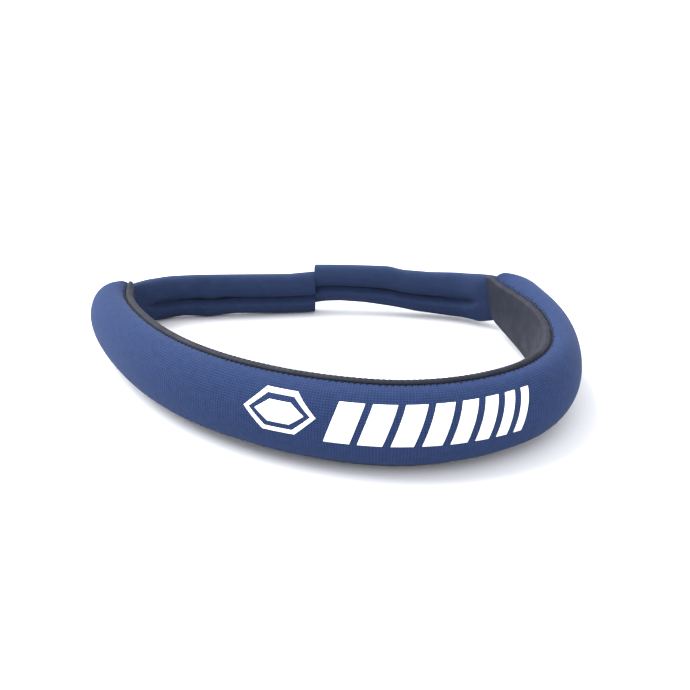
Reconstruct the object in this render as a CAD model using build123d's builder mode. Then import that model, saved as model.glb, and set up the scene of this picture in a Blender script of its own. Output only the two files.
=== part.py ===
"""Floating neoprene eyewear retainer, lying on a table with its two sleeve mouths end to end.

A foam-filled cushion curves round the neck space. A knitted blue cover wraps the outer side of
the foam and a smooth black panel closes the inner side. A soft flat sleeve leaves each end of the
cushion, folds round and points at the other one. The temple arms of a pair of glasses push into
the sleeve mouths.

Frame: +Z up from the table, -Y towards the middle of the cushion, +Y towards the sleeve mouths,
origin at the middle of the underside. Units are millimetres.
"""
from build123d import *
from math import asin, cos, degrees, hypot, radians, sin, sqrt
import os

# ---- plan: lengths along the seam line, from the middle of the cushion outwards ----
CUSHION_HALF = 157.5  # middle of the cushion to either end
TAIL = 84.0  # cushion end to sleeve mouth
FOLD = 25.0  # first stretch of a tail, where it folds round from the cushion
FRONT_HEADING = -9.4  # direction of the seam line at the middle, degrees from +X
# the cushion's bends: (share of the half length, turn in degrees), from the middle outwards
RIGHT_BENDS = [(0.33, 45.0), (0.23, 46.0), (0.27, 26.0), (0.17, 2.0)]
LEFT_BENDS = [(0.15, 11.5), (0.55, 43.5), (0.16, 10.0), (0.14, 19.5)]
LEFT_FOLD = 79.5  # turn of the left tail's fold
RIGHT_FOLD = 56.2  # turn of the right tail's fold
RIGHT_BOW = 12.0  # turn of the rest of the right tail, beyond its fold
LEFT_BOW = 1.0  # turn of the rest of the left tail
MOUTH_GAP = 1.2  # clear space between the two mouths, along X
MOUTH_STEP = 1.8  # the right mouth stands this much behind the left one

# ---- cushion section ----
MIDDLE_HEIGHT = 33.0  # back panel, at the middle
END_HEIGHT = 25.5  # back panel, where the cushion ends
MIDDLE_DEPTH = 11.5  # cover, from the seam line outwards, at the middle
END_DEPTH = 16.5  # cover near the ends, where the same cloth rolls up rounder
END_LIFT = 16.5  # middle of the cushion's height above the table, at its ends
TAPER_POWER = 2.2  # how late the cushion tapers
END_ROUNDING = 12.0  # length over which the cover closes at each end
END_SQUEEZE = 0.75  # share of the depth's square that closing takes away
PANEL_CORNER = 3.0  # corner radius of the panel at each end
CORNER_REACH = 0.98  # how far round its corner the panel's end goes, short of a knife edge
PANEL_THICKNESS = 3.0
PANEL_PROUD = 1.4  # the panel's edge stands this far past the cover, above and below
COVER_THICKNESS = 2.0
LAYER_GAP = 0.1  # clearance between pieces that lie on each other
BODY_PITCH = 11.0  # sections of the cushion are about this far apart
THREAD_RADIUS = 0.35
THREAD_END = 3.0  # the seam threads stop this far from the cushion's ends

# ---- printed film on the front ----
FILM_GAP = 0.12
FILM_THICKNESS = 0.25
FILM_PITCH = 3.0  # points of a slice's curve are about this far apart
FILM_TURN = 5.0  # degrees round the cover from one slice to the next
EMBLEM_START = -39.5  # along the seam line from the middle
EMBLEM_LENGTH = 24.5
EMBLEM_POINT = 0.28  # share of the length that slopes at each end
EMBLEM_SLOPE_INSET = 1.15  # an inset moves the sloping ends by this much more
EMBLEM_BORDER = 1.5
EMBLEM_HOLE = 1.9  # clear ring inside the border
EMBLEM_TOP_TURN = 56.5  # degrees round the cover, up from the middle of its height
EMBLEM_BOTTOM_TURN = -5.7
BAR_START = -12.5
BAR_COUNT = 8
BAR_FIRST_WIDTH = 8.2
BAR_LAST_WIDTH = 2.8
BAR_SPACE = 2.4
BAR_SLANT = 4.5  # how far a bar's top leans along the cushion
BAR_TOP_TURN = 50.0
BAR_BOTTOM_TURN = -9.1

# ---- sleeves ----
SLEEVE_HEIGHT = 19.0
SLEEVE_THICKNESS = 8.6
SLEEVE_WALL = 1.5
ROOT_LIFT = 11.5  # middle of the sleeve's height above the table, where it leaves the cushion
LEFT_MOUTH_LIFT = 9.9
RIGHT_MOUTH_LIFT = 13.0
RIGHT_MOUTH_HEIGHT = 17.0  # the right mouth is pressed a little lower than its sleeve
SLEEVE_CORNER_SHARE = 0.48  # corner radius over thickness
TONGUE_LENGTH = 15.0  # flattened sleeve root sewn into the cushion
TONGUE_THICKNESS = 2.4
TONGUE_EDGE_CLEAR = 0.77  # between the tongue's edges and the cover's inside, at the cushion's end
TONGUE_CLEAR = 0.7  # between the tongue and the seam line
TONGUE_PITCH = 4.0
STUB_LENGTH = 2.0  # full-size stretch of the root, next to the sleeve
SLEEVE_PITCH = 8.0
OVERSHOOT = 1.0  # cuts run this far past a mouth, and the tongue this far past the cushion
FLEX_GAP = 0.5  # between a sleeve's round root and the sewn-in stub it turns against
GROOVE_RADIUS = 0.75  # butt seam along the side of a sleeve that faces the neck
GROOVE_DROP = 2.2  # seam line below the middle of the sleeve's height
SLEEVE_THREAD_RADIUS = 0.3
GROOVE_END = 6.0  # the seam stops this far from the fold's hinge
CHANNEL_END = 7.0  # the channel stops this far from the fold's hinge

HINGE = CUSHION_HALF + FOLD / 2  # the fold is flexed about the middle of its arc
MOUTH = CUSHION_HALF + TAIL
KNUCKLE = SLEEVE_THICKNESS / 2


# ---------------------------------------------------------------- plan curve
def arcs(side, curl, lean):
    """The tangent arcs from the middle to one mouth, as (length, turn in degrees).

    Curl multiplies every bend of the cushion. Lean adds to the left fold and eases the right one.
    """
    bends = RIGHT_BENDS if side > 0 else LEFT_BENDS
    total = sum(share for share, _ in bends)
    chain = [(CUSHION_HALF * share / total, turn * curl) for share, turn in bends]
    if side > 0:
        return chain + [(FOLD, RIGHT_FOLD - lean), (TAIL - FOLD, RIGHT_BOW)]
    return chain + [(FOLD, LEFT_FOLD + lean), (TAIL - FOLD, LEFT_BOW)]


def walk(distance, side, curl, lean):
    """Place and heading (radians) at a distance from the middle; past the mouth it runs straight."""
    x, y, heading = 0.0, 0.0, radians(FRONT_HEADING)
    for length, turn in arcs(side, curl, lean) + [(TAIL, 0.0)]:
        step = min(distance, length)
        swing = side * radians(turn) * step / length
        chord = step if abs(swing) < 1e-9 else step * sin(swing / 2) / (swing / 2)
        x += side * chord * cos(heading + swing / 2)
        y += side * chord * sin(heading + swing / 2)
        heading += swing
        distance -= step
        if distance <= 1e-9:
            break
    return x, y, heading


def close_mouths():
    """The curl and lean that bring the two mouths end to end, by Newton's method."""

    def miss(curl, lean):
        left_x, left_y, _ = walk(MOUTH, -1, curl, lean)
        right_x, right_y, _ = walk(MOUTH, 1, curl, lean)
        return right_x - left_x - MOUTH_GAP, right_y - left_y - MOUTH_STEP

    curl, lean = 1.0, 0.0
    for _ in range(20):
        miss_x, miss_y = miss(curl, lean)
        curl_x, curl_y = [(new - old) / 1e-4 for new, old in zip(miss(curl + 1e-4, lean), (miss_x, miss_y))]
        lean_x, lean_y = [(new - old) / 1e-2 for new, old in zip(miss(curl, lean + 1e-2), (miss_x, miss_y))]
        area = curl_x * lean_y - lean_x * curl_y
        curl -= (lean_y * miss_x - lean_x * miss_y) / area
        lean -= (curl_x * miss_y - curl_y * miss_x) / area
    if hypot(*miss(curl, lean)) > 0.01:
        raise ValueError("the mouths can't meet at these lengths")
    return curl, lean


CURL, LEAN = close_mouths()


def seam_point(s):
    """Place and heading on the seam line; s runs from the left mouth (-) to the right mouth (+)."""
    side = 1 if s >= 0 else -1
    return walk(abs(s), side, CURL, LEAN)


def taper(s):
    """1 at the middle of the cushion, falling to 0 at its ends."""
    return 1 - min(1.0, abs(s) / CUSHION_HALF) ** TAPER_POWER


def nearness(s, length):
    """0 until a length from the cushion's end, then rising to 1 at the end."""
    return min(1.0, max(0.0, (abs(s) - CUSHION_HALF + length) / length))


def panel_height(s):
    corner = PANEL_CORNER * (1 - sqrt(1 - CORNER_REACH * nearness(s, PANEL_CORNER) ** 2))
    return END_HEIGHT + (MIDDLE_HEIGHT - END_HEIGHT) * taper(s) - 2 * corner


def cover_half_height(s):
    return panel_height(s) / 2 - PANEL_PROUD


def cover_depth(s):
    closing = sqrt(1 - END_SQUEEZE * nearness(s, END_ROUNDING) ** 2)
    return (END_DEPTH + (MIDDLE_DEPTH - END_DEPTH) * taper(s)) * closing


def cushion_lift(s):
    return END_LIFT + (MIDDLE_HEIGHT / 2 - END_LIFT) * taper(s)


def sleeve_lift(s):
    mouth = RIGHT_MOUTH_LIFT if s > 0 else LEFT_MOUTH_LIFT
    along = max(0.0, min(1.0, (abs(s) - CUSHION_HALF) / TAIL))
    return ROOT_LIFT + (mouth - ROOT_LIFT) * along


def sleeve_height(s):
    mouth = RIGHT_MOUTH_HEIGHT if s > 0 else SLEEVE_HEIGHT
    along = max(0.0, min(1.0, (abs(s) - CUSHION_HALF) / TAIL))
    return SLEEVE_HEIGHT + (mouth - SLEEVE_HEIGHT) * along


def plan_middle():
    """Middle of the box round the plan outline."""
    xs, ys = [], []
    for step in range(int(-MOUTH), int(MOUTH) + 1):
        x, y, heading = seam_point(step)
        reaches = (cover_depth(step), -PANEL_THICKNESS)
        if abs(step) > CUSHION_HALF:
            reaches = (KNUCKLE, -KNUCKLE)
        for out in reaches:
            xs.append(x + out * sin(heading))
            ys.append(y - out * cos(heading))
    return (min(xs) + max(xs)) / 2, (min(ys) + max(ys)) / 2


MIDDLE_X, MIDDLE_Y = plan_middle()


def section(s, lift):
    """Upright plane across the strap at s: local x points into the neck space, local y is up."""
    x, y, heading = seam_point(s)
    return Plane(
        origin=(x - MIDDLE_X, y - MIDDLE_Y, lift),
        x_dir=(-sin(heading), cos(heading), 0),
        z_dir=(cos(heading), sin(heading), 0),
    )


def stations(start, end, pitch):
    """Stations from start to end, both included, no further apart than the pitch."""
    steps = max(2, round(abs(end - start) / pitch))
    return [start + (end - start) * i / steps for i in range(steps + 1)]


def body_stations():
    """Stations along the cushion up to where its ends start to round off."""
    limit = CUSHION_HALF - END_ROUNDING
    return stations(-limit, limit, BODY_PITCH)


def thread_stations():
    """Stations of the two seam threads."""
    limit = CUSHION_HALF - THREAD_END
    return [-limit] + body_stations() + [limit]


def full_stations():
    """Stations along the whole cushion, closer together where its ends round off."""
    tip = [CUSHION_HALF - END_ROUNDING * share for share in (0.62, 0.32, 0.12, 0.0)]
    return [-s for s in reversed(tip)] + body_stations() + tip


# ---------------------------------------------------------------- section outlines
ROUND = 0.5523  # handle share that makes a cubic curve follow a quarter ellipse


def bulge(depth, half, start_x=0.0):
    """Half ellipse from (start_x, half) round (-depth, 0) to (start_x, -half)."""
    reach = depth + start_x
    Bezier((start_x, half), (start_x - ROUND * reach, half), (-depth, ROUND * half), (-depth, 0))
    Bezier((-depth, 0), (-depth, -ROUND * half), (start_x - ROUND * reach, -half), (start_x, -half))


def cover_section(s):
    """C-shaped skin, open at the seam line."""
    half = cover_half_height(s)
    inner = half - COVER_THICKNESS
    with BuildSketch(section(s, cushion_lift(s))) as face:
        with BuildLine():
            bulge(cover_depth(s), half)
            Line((0, -half), (0, -inner))
            bulge(cover_depth(s) - COVER_THICKNESS, inner)
            Line((0, inner), (0, half))
        make_face()
    return face.sketch


def core_section(s):
    """D-shaped foam inside the cover."""
    half = cover_half_height(s) - COVER_THICKNESS - LAYER_GAP
    with BuildSketch(section(s, cushion_lift(s))) as face:
        with BuildLine():
            bulge(cover_depth(s) - COVER_THICKNESS - LAYER_GAP, half, -LAYER_GAP)
            Line((-LAYER_GAP, -half), (-LAYER_GAP, half))
        make_face()
    return face.sketch


def panel_section(s):
    """Flat panel with round edges, just inside the seam line."""
    with BuildSketch(section(s, cushion_lift(s))) as face:
        with Locations((LAYER_GAP + PANEL_THICKNESS / 2, 0)):
            RectangleRounded(PANEL_THICKNESS, panel_height(s), PANEL_THICKNESS * 0.48)
    return face.sketch


def seam_thread_section(s, up):
    """Thread in the corner between the cover's edge and the panel; up is 1 or -1."""
    rise = cover_half_height(s) + LAYER_GAP + THREAD_RADIUS
    with BuildSketch(section(s, cushion_lift(s))) as face:
        with Locations((-THREAD_RADIUS, up * rise)):
            Circle(THREAD_RADIUS)
    return face.sketch


def film_slice(height, start, end, inner, outer):
    """Level slice of the film from station to station, between two distances off the cover.

    The height is counted from the middle of the cushion's height at its own middle.
    """

    def at(s, out):
        half = cover_half_height(s) + out
        above = MIDDLE_HEIGHT / 2 + height - cushion_lift(s)
        reach = (cover_depth(s) + out) * sqrt(1 - (above / half) ** 2)
        x, y, heading = seam_point(s)
        return x - MIDDLE_X + reach * sin(heading), y - MIDDLE_Y - reach * cos(heading)

    places = stations(start, end, FILM_PITCH)
    with BuildSketch(Plane.XY.offset(MIDDLE_HEIGHT / 2 + height)) as face:
        with BuildLine():
            Spline(*[at(s, inner) for s in places])
            Line(at(end, inner), at(end, outer))
            Spline(*[at(s, outer) for s in reversed(places)])
            Line(at(start, outer), at(start, inner))
        make_face()
    return face.sketch


def sleeve_section(s, inset=0.0):
    """Flat oval across a sleeve, or one smaller by an inset all round."""
    thickness = SLEEVE_THICKNESS - 2 * inset
    height = sleeve_height(s) - 2 * inset
    with BuildSketch(section(s, sleeve_lift(s))) as face:
        RectangleRounded(thickness, height, thickness * SLEEVE_CORNER_SHARE)
    return face.sketch


def half_section(s):
    """The half of a sleeve's oval that faces the neck space."""
    with BuildSketch(section(s, sleeve_lift(s))) as face:
        RectangleRounded(SLEEVE_THICKNESS, sleeve_height(s), SLEEVE_THICKNESS * SLEEVE_CORNER_SHARE)
        split(bisect_by=Plane.YZ)
    return face.sketch


def sleeve_spot(s, place_x, radius):
    """Small circle on the seam line of a sleeve's inner side."""
    with BuildSketch(section(s, sleeve_lift(s))) as face:
        with Locations((place_x, -GROOVE_DROP)):
            Circle(radius)
    return face.sketch


def tongue_section(s):
    """Flattened sleeve root between the cushion's core and its panel."""
    height = 2 * (cover_half_height(CUSHION_HALF) - COVER_THICKNESS - TONGUE_EDGE_CLEAR)
    with BuildSketch(section(s, END_LIFT)) as face:
        with Locations((-TONGUE_CLEAR - TONGUE_THICKNESS / 2, 0)):
            RectangleRounded(TONGUE_THICKNESS, height, TONGUE_THICKNESS * SLEEVE_CORNER_SHARE)
    return face.sketch


# ---------------------------------------------------------------- cushion
os.makedirs("parts", exist_ok=True)

with BuildPart() as float_core:
    loft(sections=[core_section(s) for s in body_stations()[1:-1]])

with BuildPart() as outer_cover:
    loft(sections=[cover_section(s) for s in full_stations()])

with BuildPart() as back_panel:
    loft(sections=[panel_section(s) for s in full_stations()])

with BuildPart() as upper_seam_thread:
    loft(sections=[seam_thread_section(s, 1) for s in thread_stations()])

with BuildPart() as lower_seam_thread:
    loft(sections=[seam_thread_section(s, -1) for s in thread_stations()])

# ---------------------------------------------------------------- print
def rise(turn):
    """Height above the middle of the cushion of a place so many degrees round its cover."""
    return cover_half_height(0) * sin(radians(turn))


def film_levels(low, high):
    """Heights of the slices between two heights, an even turn apart round the cover."""
    half = cover_half_height(0)
    turns = stations(asin(low / half), asin(high / half), radians(FILM_TURN))
    return [half * sin(turn) for turn in turns]


def film_patch(low, high, limits, mode=Mode.ADD):
    """A printed patch between two heights; limits gives its start and end along the cushion."""
    spare = 0 if mode == Mode.ADD else FILM_GAP / 2
    inner = FILM_GAP - spare
    outer = FILM_GAP + FILM_THICKNESS + spare
    slices = [film_slice(height, *limits(height), inner, outer) for height in film_levels(low, high)]
    loft(sections=slices, ruled=True, mode=mode)


EMBLEM_TOP, EMBLEM_BOTTOM = rise(EMBLEM_TOP_TURN), rise(EMBLEM_BOTTOM_TURN)
BAR_TOP, BAR_BOTTOM = rise(BAR_TOP_TURN), rise(BAR_BOTTOM_TURN)


def hexagon(inset=0.0):
    """Limits of the emblem's hexagon, a point at both ends, or of one smaller by an inset."""
    point = EMBLEM_LENGTH * EMBLEM_POINT
    middle = (EMBLEM_TOP + EMBLEM_BOTTOM) / 2

    def limits(height):
        cut = inset * EMBLEM_SLOPE_INSET + point * abs(height - middle) / (EMBLEM_TOP - middle)
        return EMBLEM_START + cut, EMBLEM_START + EMBLEM_LENGTH - cut

    return limits


with BuildPart() as print_emblem:
    film_patch(EMBLEM_BOTTOM, EMBLEM_TOP, hexagon())
    low, high = EMBLEM_BOTTOM + EMBLEM_BORDER, EMBLEM_TOP - EMBLEM_BORDER
    film_patch(low, high, hexagon(EMBLEM_BORDER), mode=Mode.SUBTRACT)
    film_patch(low + EMBLEM_HOLE, high - EMBLEM_HOLE, hexagon(EMBLEM_BORDER + EMBLEM_HOLE))

with BuildPart() as print_bars:
    start = BAR_START
    for index in range(BAR_COUNT):
        width = BAR_FIRST_WIDTH + (BAR_LAST_WIDTH - BAR_FIRST_WIDTH) * index / (BAR_COUNT - 1)

        def slanted(height):
            lean = BAR_SLANT * (height - BAR_BOTTOM) / (BAR_TOP - BAR_BOTTOM)
            return start + lean, start + lean + width

        film_patch(BAR_BOTTOM, BAR_TOP, slanted)
        start += width + BAR_SPACE


# ---------------------------------------------------------------- sleeves
STUB_END = HINGE - KNUCKLE - FLEX_GAP
THREAD_X = KNUCKLE - GROOVE_RADIUS + LAYER_GAP + SLEEVE_THREAD_RADIUS


def sewn_root(side):
    """Flat tongue inside the cushion's end, opening out to the full sleeve before the hinge."""
    tongue = stations(CUSHION_HALF - TONGUE_LENGTH, CUSHION_HALF + OVERSHOOT, TONGUE_PITCH)
    stub = [STUB_END - STUB_LENGTH, STUB_END]
    faces = [tongue_section(side * s) for s in tongue] + [sleeve_section(side * s) for s in stub]
    loft(sections=faces, ruled=True)


def sleeve(side):
    """Sleeve from its round root on the hinge to its open mouth."""
    loft(sections=[sleeve_section(side * s) for s in stations(HINGE, MOUTH, SLEEVE_PITCH)])
    upright = Axis(section(side * HINGE, 0).origin, (0, 0, 1))
    revolve(half_section(side * HINGE), upright, 180 * side)
    channel = stations(HINGE + CHANNEL_END, MOUTH + OVERSHOOT, SLEEVE_PITCH)
    loft(sections=[sleeve_section(side * s, SLEEVE_WALL) for s in channel], mode=Mode.SUBTRACT)
    groove = stations(HINGE + GROOVE_END, MOUTH + OVERSHOOT, SLEEVE_PITCH)
    loft(sections=[sleeve_spot(side * s, KNUCKLE, GROOVE_RADIUS) for s in groove], mode=Mode.SUBTRACT)


def sleeve_thread(side):
    """Flat seam thread at the bottom of a sleeve's groove."""
    stitched = stations(HINGE + GROOVE_END + OVERSHOOT, MOUTH - OVERSHOOT, SLEEVE_PITCH)
    loft(sections=[sleeve_spot(side * s, THREAD_X, SLEEVE_THREAD_RADIUS) for s in stitched])


with BuildPart() as left_sleeve_root:
    sewn_root(-1)

with BuildPart() as right_sleeve_root:
    sewn_root(1)

with BuildPart() as left_sleeve:
    sleeve(-1)

with BuildPart() as right_sleeve:
    sleeve(1)

with BuildPart() as left_sleeve_seam_thread:
    sleeve_thread(-1)

with BuildPart() as right_sleeve_seam_thread:
    sleeve_thread(1)

# ---------------------------------------------------------------- write
PIECES = {
    "float_core": float_core,
    "outer_cover": outer_cover,
    "back_panel": back_panel,
    "upper_seam_thread": upper_seam_thread,
    "lower_seam_thread": lower_seam_thread,
    "print_emblem": print_emblem,
    "print_bars": print_bars,
    "left_sleeve_root": left_sleeve_root,
    "right_sleeve_root": right_sleeve_root,
    "left_sleeve": left_sleeve,
    "right_sleeve": right_sleeve,
    "left_sleeve_seam_thread": left_sleeve_seam_thread,
    "right_sleeve_seam_thread": right_sleeve_seam_thread,
}
for label, piece in PIECES.items():
    piece.part.label = label
    export_step(piece.part, f"parts/{label}.step")

for name, side in (("left", -1), ("right", 1)):
    hinge = section(side * HINGE, 0).origin
    mouth = section(side * MOUTH, sleeve_lift(side * MOUTH)).origin
    fold = LEFT_FOLD + LEAN if side < 0 else RIGHT_FOLD - LEAN
    heading = degrees(seam_point(side * MOUTH)[2])
    print(f"{name}: hinge {hinge.X:.2f} {hinge.Y:.2f}, fold {fold:.1f} deg, mouth", end=" ")
    print(f"{mouth.X:.2f} {mouth.Y:.2f} {mouth.Z:.2f}, heading {heading:.1f} deg")
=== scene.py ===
"""Looks of the floating eyewear retainer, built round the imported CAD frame.

A knitted cover is inflated over the cushion's foam, a smooth neoprene panel lies against the neck,
overlock stitches close the two along their edges, and two soft sleeves fold round from the ends.
Lengths are millimetres unless a property or a comment says otherwise; every mesh is made in
metres, in the frame's own axes: +Z up, -Y towards the front of the cushion.
"""
from math import pi, radians

import bmesh
import bpy
import numpy as np
from bpy.props import FloatProperty, FloatVectorProperty, IntProperty, PointerProperty
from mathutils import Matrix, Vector
from mathutils.bvhtree import BVHTree


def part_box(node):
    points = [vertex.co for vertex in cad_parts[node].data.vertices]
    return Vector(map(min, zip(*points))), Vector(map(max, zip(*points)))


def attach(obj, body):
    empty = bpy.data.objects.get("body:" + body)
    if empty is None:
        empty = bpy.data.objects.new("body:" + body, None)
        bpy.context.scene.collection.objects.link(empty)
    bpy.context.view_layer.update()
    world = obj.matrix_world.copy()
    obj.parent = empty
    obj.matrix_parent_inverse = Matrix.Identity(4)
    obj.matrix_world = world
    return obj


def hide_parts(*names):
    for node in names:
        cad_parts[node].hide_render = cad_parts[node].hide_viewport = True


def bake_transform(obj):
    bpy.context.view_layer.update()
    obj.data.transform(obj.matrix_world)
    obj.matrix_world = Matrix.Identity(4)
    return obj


bl_info = {
    "name": "Floating Eyewear Retainer",
    "version": (1, 0, 0),
    "blender": (4, 5, 0),
    "location": "View3D > Sidebar > Retainer",
    "description": "Builds the cloth, panel, stitching, print and sleeves of a floating retainer",
    "category": "Add Mesh",
}

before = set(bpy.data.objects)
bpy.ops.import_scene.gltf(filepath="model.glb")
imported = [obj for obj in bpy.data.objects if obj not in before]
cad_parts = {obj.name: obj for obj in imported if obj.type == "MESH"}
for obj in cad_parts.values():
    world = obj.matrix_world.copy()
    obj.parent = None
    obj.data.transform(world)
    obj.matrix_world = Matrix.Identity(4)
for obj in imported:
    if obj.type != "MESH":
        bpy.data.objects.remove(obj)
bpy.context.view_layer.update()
MM = 0.001
UV_NAME = "cloth_mm"
LOOP_SLANT = 1.1  # lean of the knit's loops, along over across
LOOP_SHARE = 0.6  # share of the knit's relief that its loops make, not its ribs

# ---- plan of the seam line, from its middle outwards ----
# arcs are (share of the cushion's half length, turn in degrees), or (length, turn) for a tail
CUSHION_HALF = 157.5
TAIL = 84.0
FOLD = 25.0
MOUTH = CUSHION_HALF + TAIL
FRONT_HEADING = -9.4
RIGHT_TURNS = ((0.33, 45.0), (0.23, 46.0), (0.27, 26.0), (0.17, 2.0))
LEFT_TURNS = ((0.15, 11.5), (0.55, 43.5), (0.16, 10.0), (0.14, 19.5))
RIGHT_TAIL_TURNS = ((FOLD, 56.2), (TAIL - FOLD, 12.0))
LEFT_TAIL_TURNS = ((FOLD, 79.5), (TAIL - FOLD, 1.0))
SPARE_RUN = 8.0  # the line goes on straight past each mouth
PLAN_POINTS = 20001

# ---- cushion ----
MIDDLE_HEIGHT = 33.0  # panel
END_HEIGHT = 17.0
MIDDLE_DEPTH = 11.5  # cover, outwards from the seam line
END_DEPTH = 16.5
MIDDLE_LIFT = 16.5  # middle of the height above the table
END_LIFTS = {-1: 15.2, 1: 15.9}
MIDDLE_GIRTH = 30.4  # full height of the cover, which rolls past the panel near the ends
END_GIRTH = 25.0
TAPER_POWER = 2.2
LEFT_GIVE = 1.3  # how far the soft left end bows out of the seam line's plan
LEFT_GIVE_AT = -140.0
LEFT_GIVE_SPREAD = 24.0
END_ROUNDING = 12.0  # stretch over which the cover closes in
END_SQUEEZE = 0.75  # share of the depth's square lost there
GIRTH_SQUEEZES = {-1: 0.28, 1: 0.04}  # share of the girth's square lost at an end
COVER_ENDS = {-1: 155.0, 1: 157.5}
LEAST_GIRTH = 1.01  # of the cover, over the height where it is sewn
LOWER_TUCK = 0.07  # share of its height by which the cover's lower half is flatter
PANEL_CORNER = 3.0
PANEL_PROUD = 1.1  # the panel's edge past the cover's
PANEL_ENDS = {-1: 153.8, 1: 159.0}
PANEL_LEANS = {-1: 1.0, 1: 7.0}  # how much further the top of an end reaches than its bottom
PANEL_LEAN_LENGTH = 12.0
PANEL_FLARES = {-1: 3.2, 1: 1.5}  # how much the top of its last stretch rises
PANEL_FLARE_LENGTH = 10.0
PANEL_PINCH = 8.0  # stretch over which it thins
PINCH_SHARE = 0.4  # share of its thickness lost there
PANEL_WAVES = ((0.12, 7.3, 0.0), (0.1, 3.1, 1.2))  # height, length of a radian, phase
CORNER_REACH = 0.98
COVER_COLUMNS = 19
# rows that close an end of the cover: distance past it, share of the depth, share of the height
COVER_CLOSING = ((1.0, 0.86, 0.95), (1.8, 0.7, 0.9), (2.2, 0.55, 0.86))
LAYER_GAP = 0.1
FAR_OUT = 40.0  # start of the lines that find the surface
STITCH_MARGIN = 3.5  # the stitches stop this far from the cover's ends
STITCH_UNEVENNESS = 0.3  # share by which their reach varies
SEAM_PITCH = 1.2  # spacing of the points of the thread along the seam
SEAM_RISE = 0.25  # that thread, past the cover's edge
THREAD_END = 0.45  # share of a thread's radius at its cut ends
CORE_LIMIT = 134.0  # the foam ends this far from the middle
CORE_INSET = 2.6  # foam to the outside of the cover
CORE_PITCH = 3.0

# ---- print, along the strap and up, from the middle of the cushion ----
EMBLEM_START = -39.5
EMBLEM_LENGTH = 24.5
EMBLEM_POINT = 0.28  # share of the length that each pointed end takes
EMBLEM_BORDER = 1.5
EMBLEM_HOLE = 1.9  # clear ring inside the border
EMBLEM_SLOPE_INSET = 1.15  # how much further an inset moves the slopes along the strap
EMBLEM_POINTS = 96
FILM_GAP = 0.05  # film to the cover
EMBLEM_TOP = 12.6
EMBLEM_BOTTOM = -1.5
BAR_START = -12.5
BAR_COUNT = 8
BAR_FIRST_WIDTH = 8.2
BAR_LAST_WIDTH = 2.8
BAR_SPACE = 2.4
BAR_SLANT = 4.5
BAR_TOP = 11.6
BAR_BOTTOM = -2.4

# ---- sleeves: rows are (distance from the middle, value) ----
EASE_STEP = 0.5
EASE_REACH = 6  # steps to each side over which a table's corners are eased
GROOVE_DROP = 1.0
SLEEVE_START = 148.0
# middle of the sleeve's thickness: outwards of the seam line inside the cushion
SLEEVE_SHIFT = ((148.0, -2.2), (157.5, -2.4), (161.0, -1.4), (167.0, 0.0), (243.0, 0.0))
RIM_ROUND = 0.45  # how far a mouth's rim stands past its cut edge
SLEEVE_HALF_THICKNESS = (
    (148.0, 1.1), (156.5, 1.6), (159.5, 2.7), (164.0, 3.8), (169.0, 4.3), (243.0, 4.3),
)
SLEEVE_TOPS = {
    -1: (
        (148.0, 19.0), (156.0, 20.4), (160.0, 20.6), (175.0, 19.1), (192.0, 19.2), (231.0, 17.9),
        (243.0, 18.7),
    ),
    1: (
        (148.0, 20.0), (156.0, 22.4), (160.0, 24.6), (166.0, 23.6), (176.0, 21.4), (192.0, 20.2),
        (204.0, 20.3), (210.0, 21.6), (243.0, 21.1),
    ),
}
SLEEVE_BOTTOMS = {
    -1: (
        (148.0, 11.0), (156.0, 8.6), (160.0, 4.6), (168.0, 1.0), (176.0, 0.3), (185.0, 1.2), (196.0, 0.2),
        (207.0, 1.2), (226.0, 0.4), (243.0, 0.3),
    ),
    1: (
        (148.0, 11.0), (156.0, 8.6), (160.0, 4.6), (167.0, 1.8), (182.0, 1.3), (198.0, 2.2), (206.0, 3.4),
        (220.0, 4.8), (231.0, 5.2), (238.0, 4.8), (243.0, 3.8),
    ),
}
OVAL_POWER = 2.7  # 2 is an ellipse, more is squarer
OVAL_HALVES = (4.3, 9.5)
MOUTH_SLANTS = {-1: 0.0, 1: 0.2}  # how much shorter a sleeve's bottom is than its top
SLANT_START = 215.0
GROOVE_STARTS = {-1: 162.0, 1: 164.0}
GROOVE_FADE = 10.0
GROOVE_LIPS = ((0.6, 3.6, 3.0), (1.1, -4.4, 1.9))  # beside the groove: rise, height, spread
LINING_SHARE = 0.5  # share of the groove that shows in the channel
LINING_INSET = 0.9  # rows further in than this are the channel's
CHANNEL_START = 184.0
MOUTH_REACH = {-1: 0.6, 1: 0.7}  # how far past its CAD end a soft mouth stands
# creases across a sleeve: distance from the middle, depth and width
SLEEVE_CREASES = {
    -1: ((192.0, 0.8, 3.0), (203.0, 0.6, 4.0)),
    1: ((214.0, 0.35, 4.0), (190.0, 0.25, 5.0)),
}
CREASE_SLOPE = 0.25
SLEEVE_THREAD_RADIUS = 0.25
SLEEVE_THREAD_PITCH = 0.8
SLEEVE_THREAD_SWAY = 0.12
SLEEVE_THREAD_WAVE = 2.6
SIDES = {-1: "left", 1: "right"}


# ---- plan ----
def joins(turns, tail, side):
    """Distances along the seam line and headings where one side's arcs meet."""
    distances, headings = [0.0], [radians(FRONT_HEADING)]
    arcs = [(share * CUSHION_HALF, turn) for share, turn in turns] + list(tail) + [(SPARE_RUN, 0.0)]
    for length, turn in arcs:
        distances.append(distances[-1] + length)
        headings.append(headings[-1] + side * radians(turn))
    return [side * distance for distance in distances], headings


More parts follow.
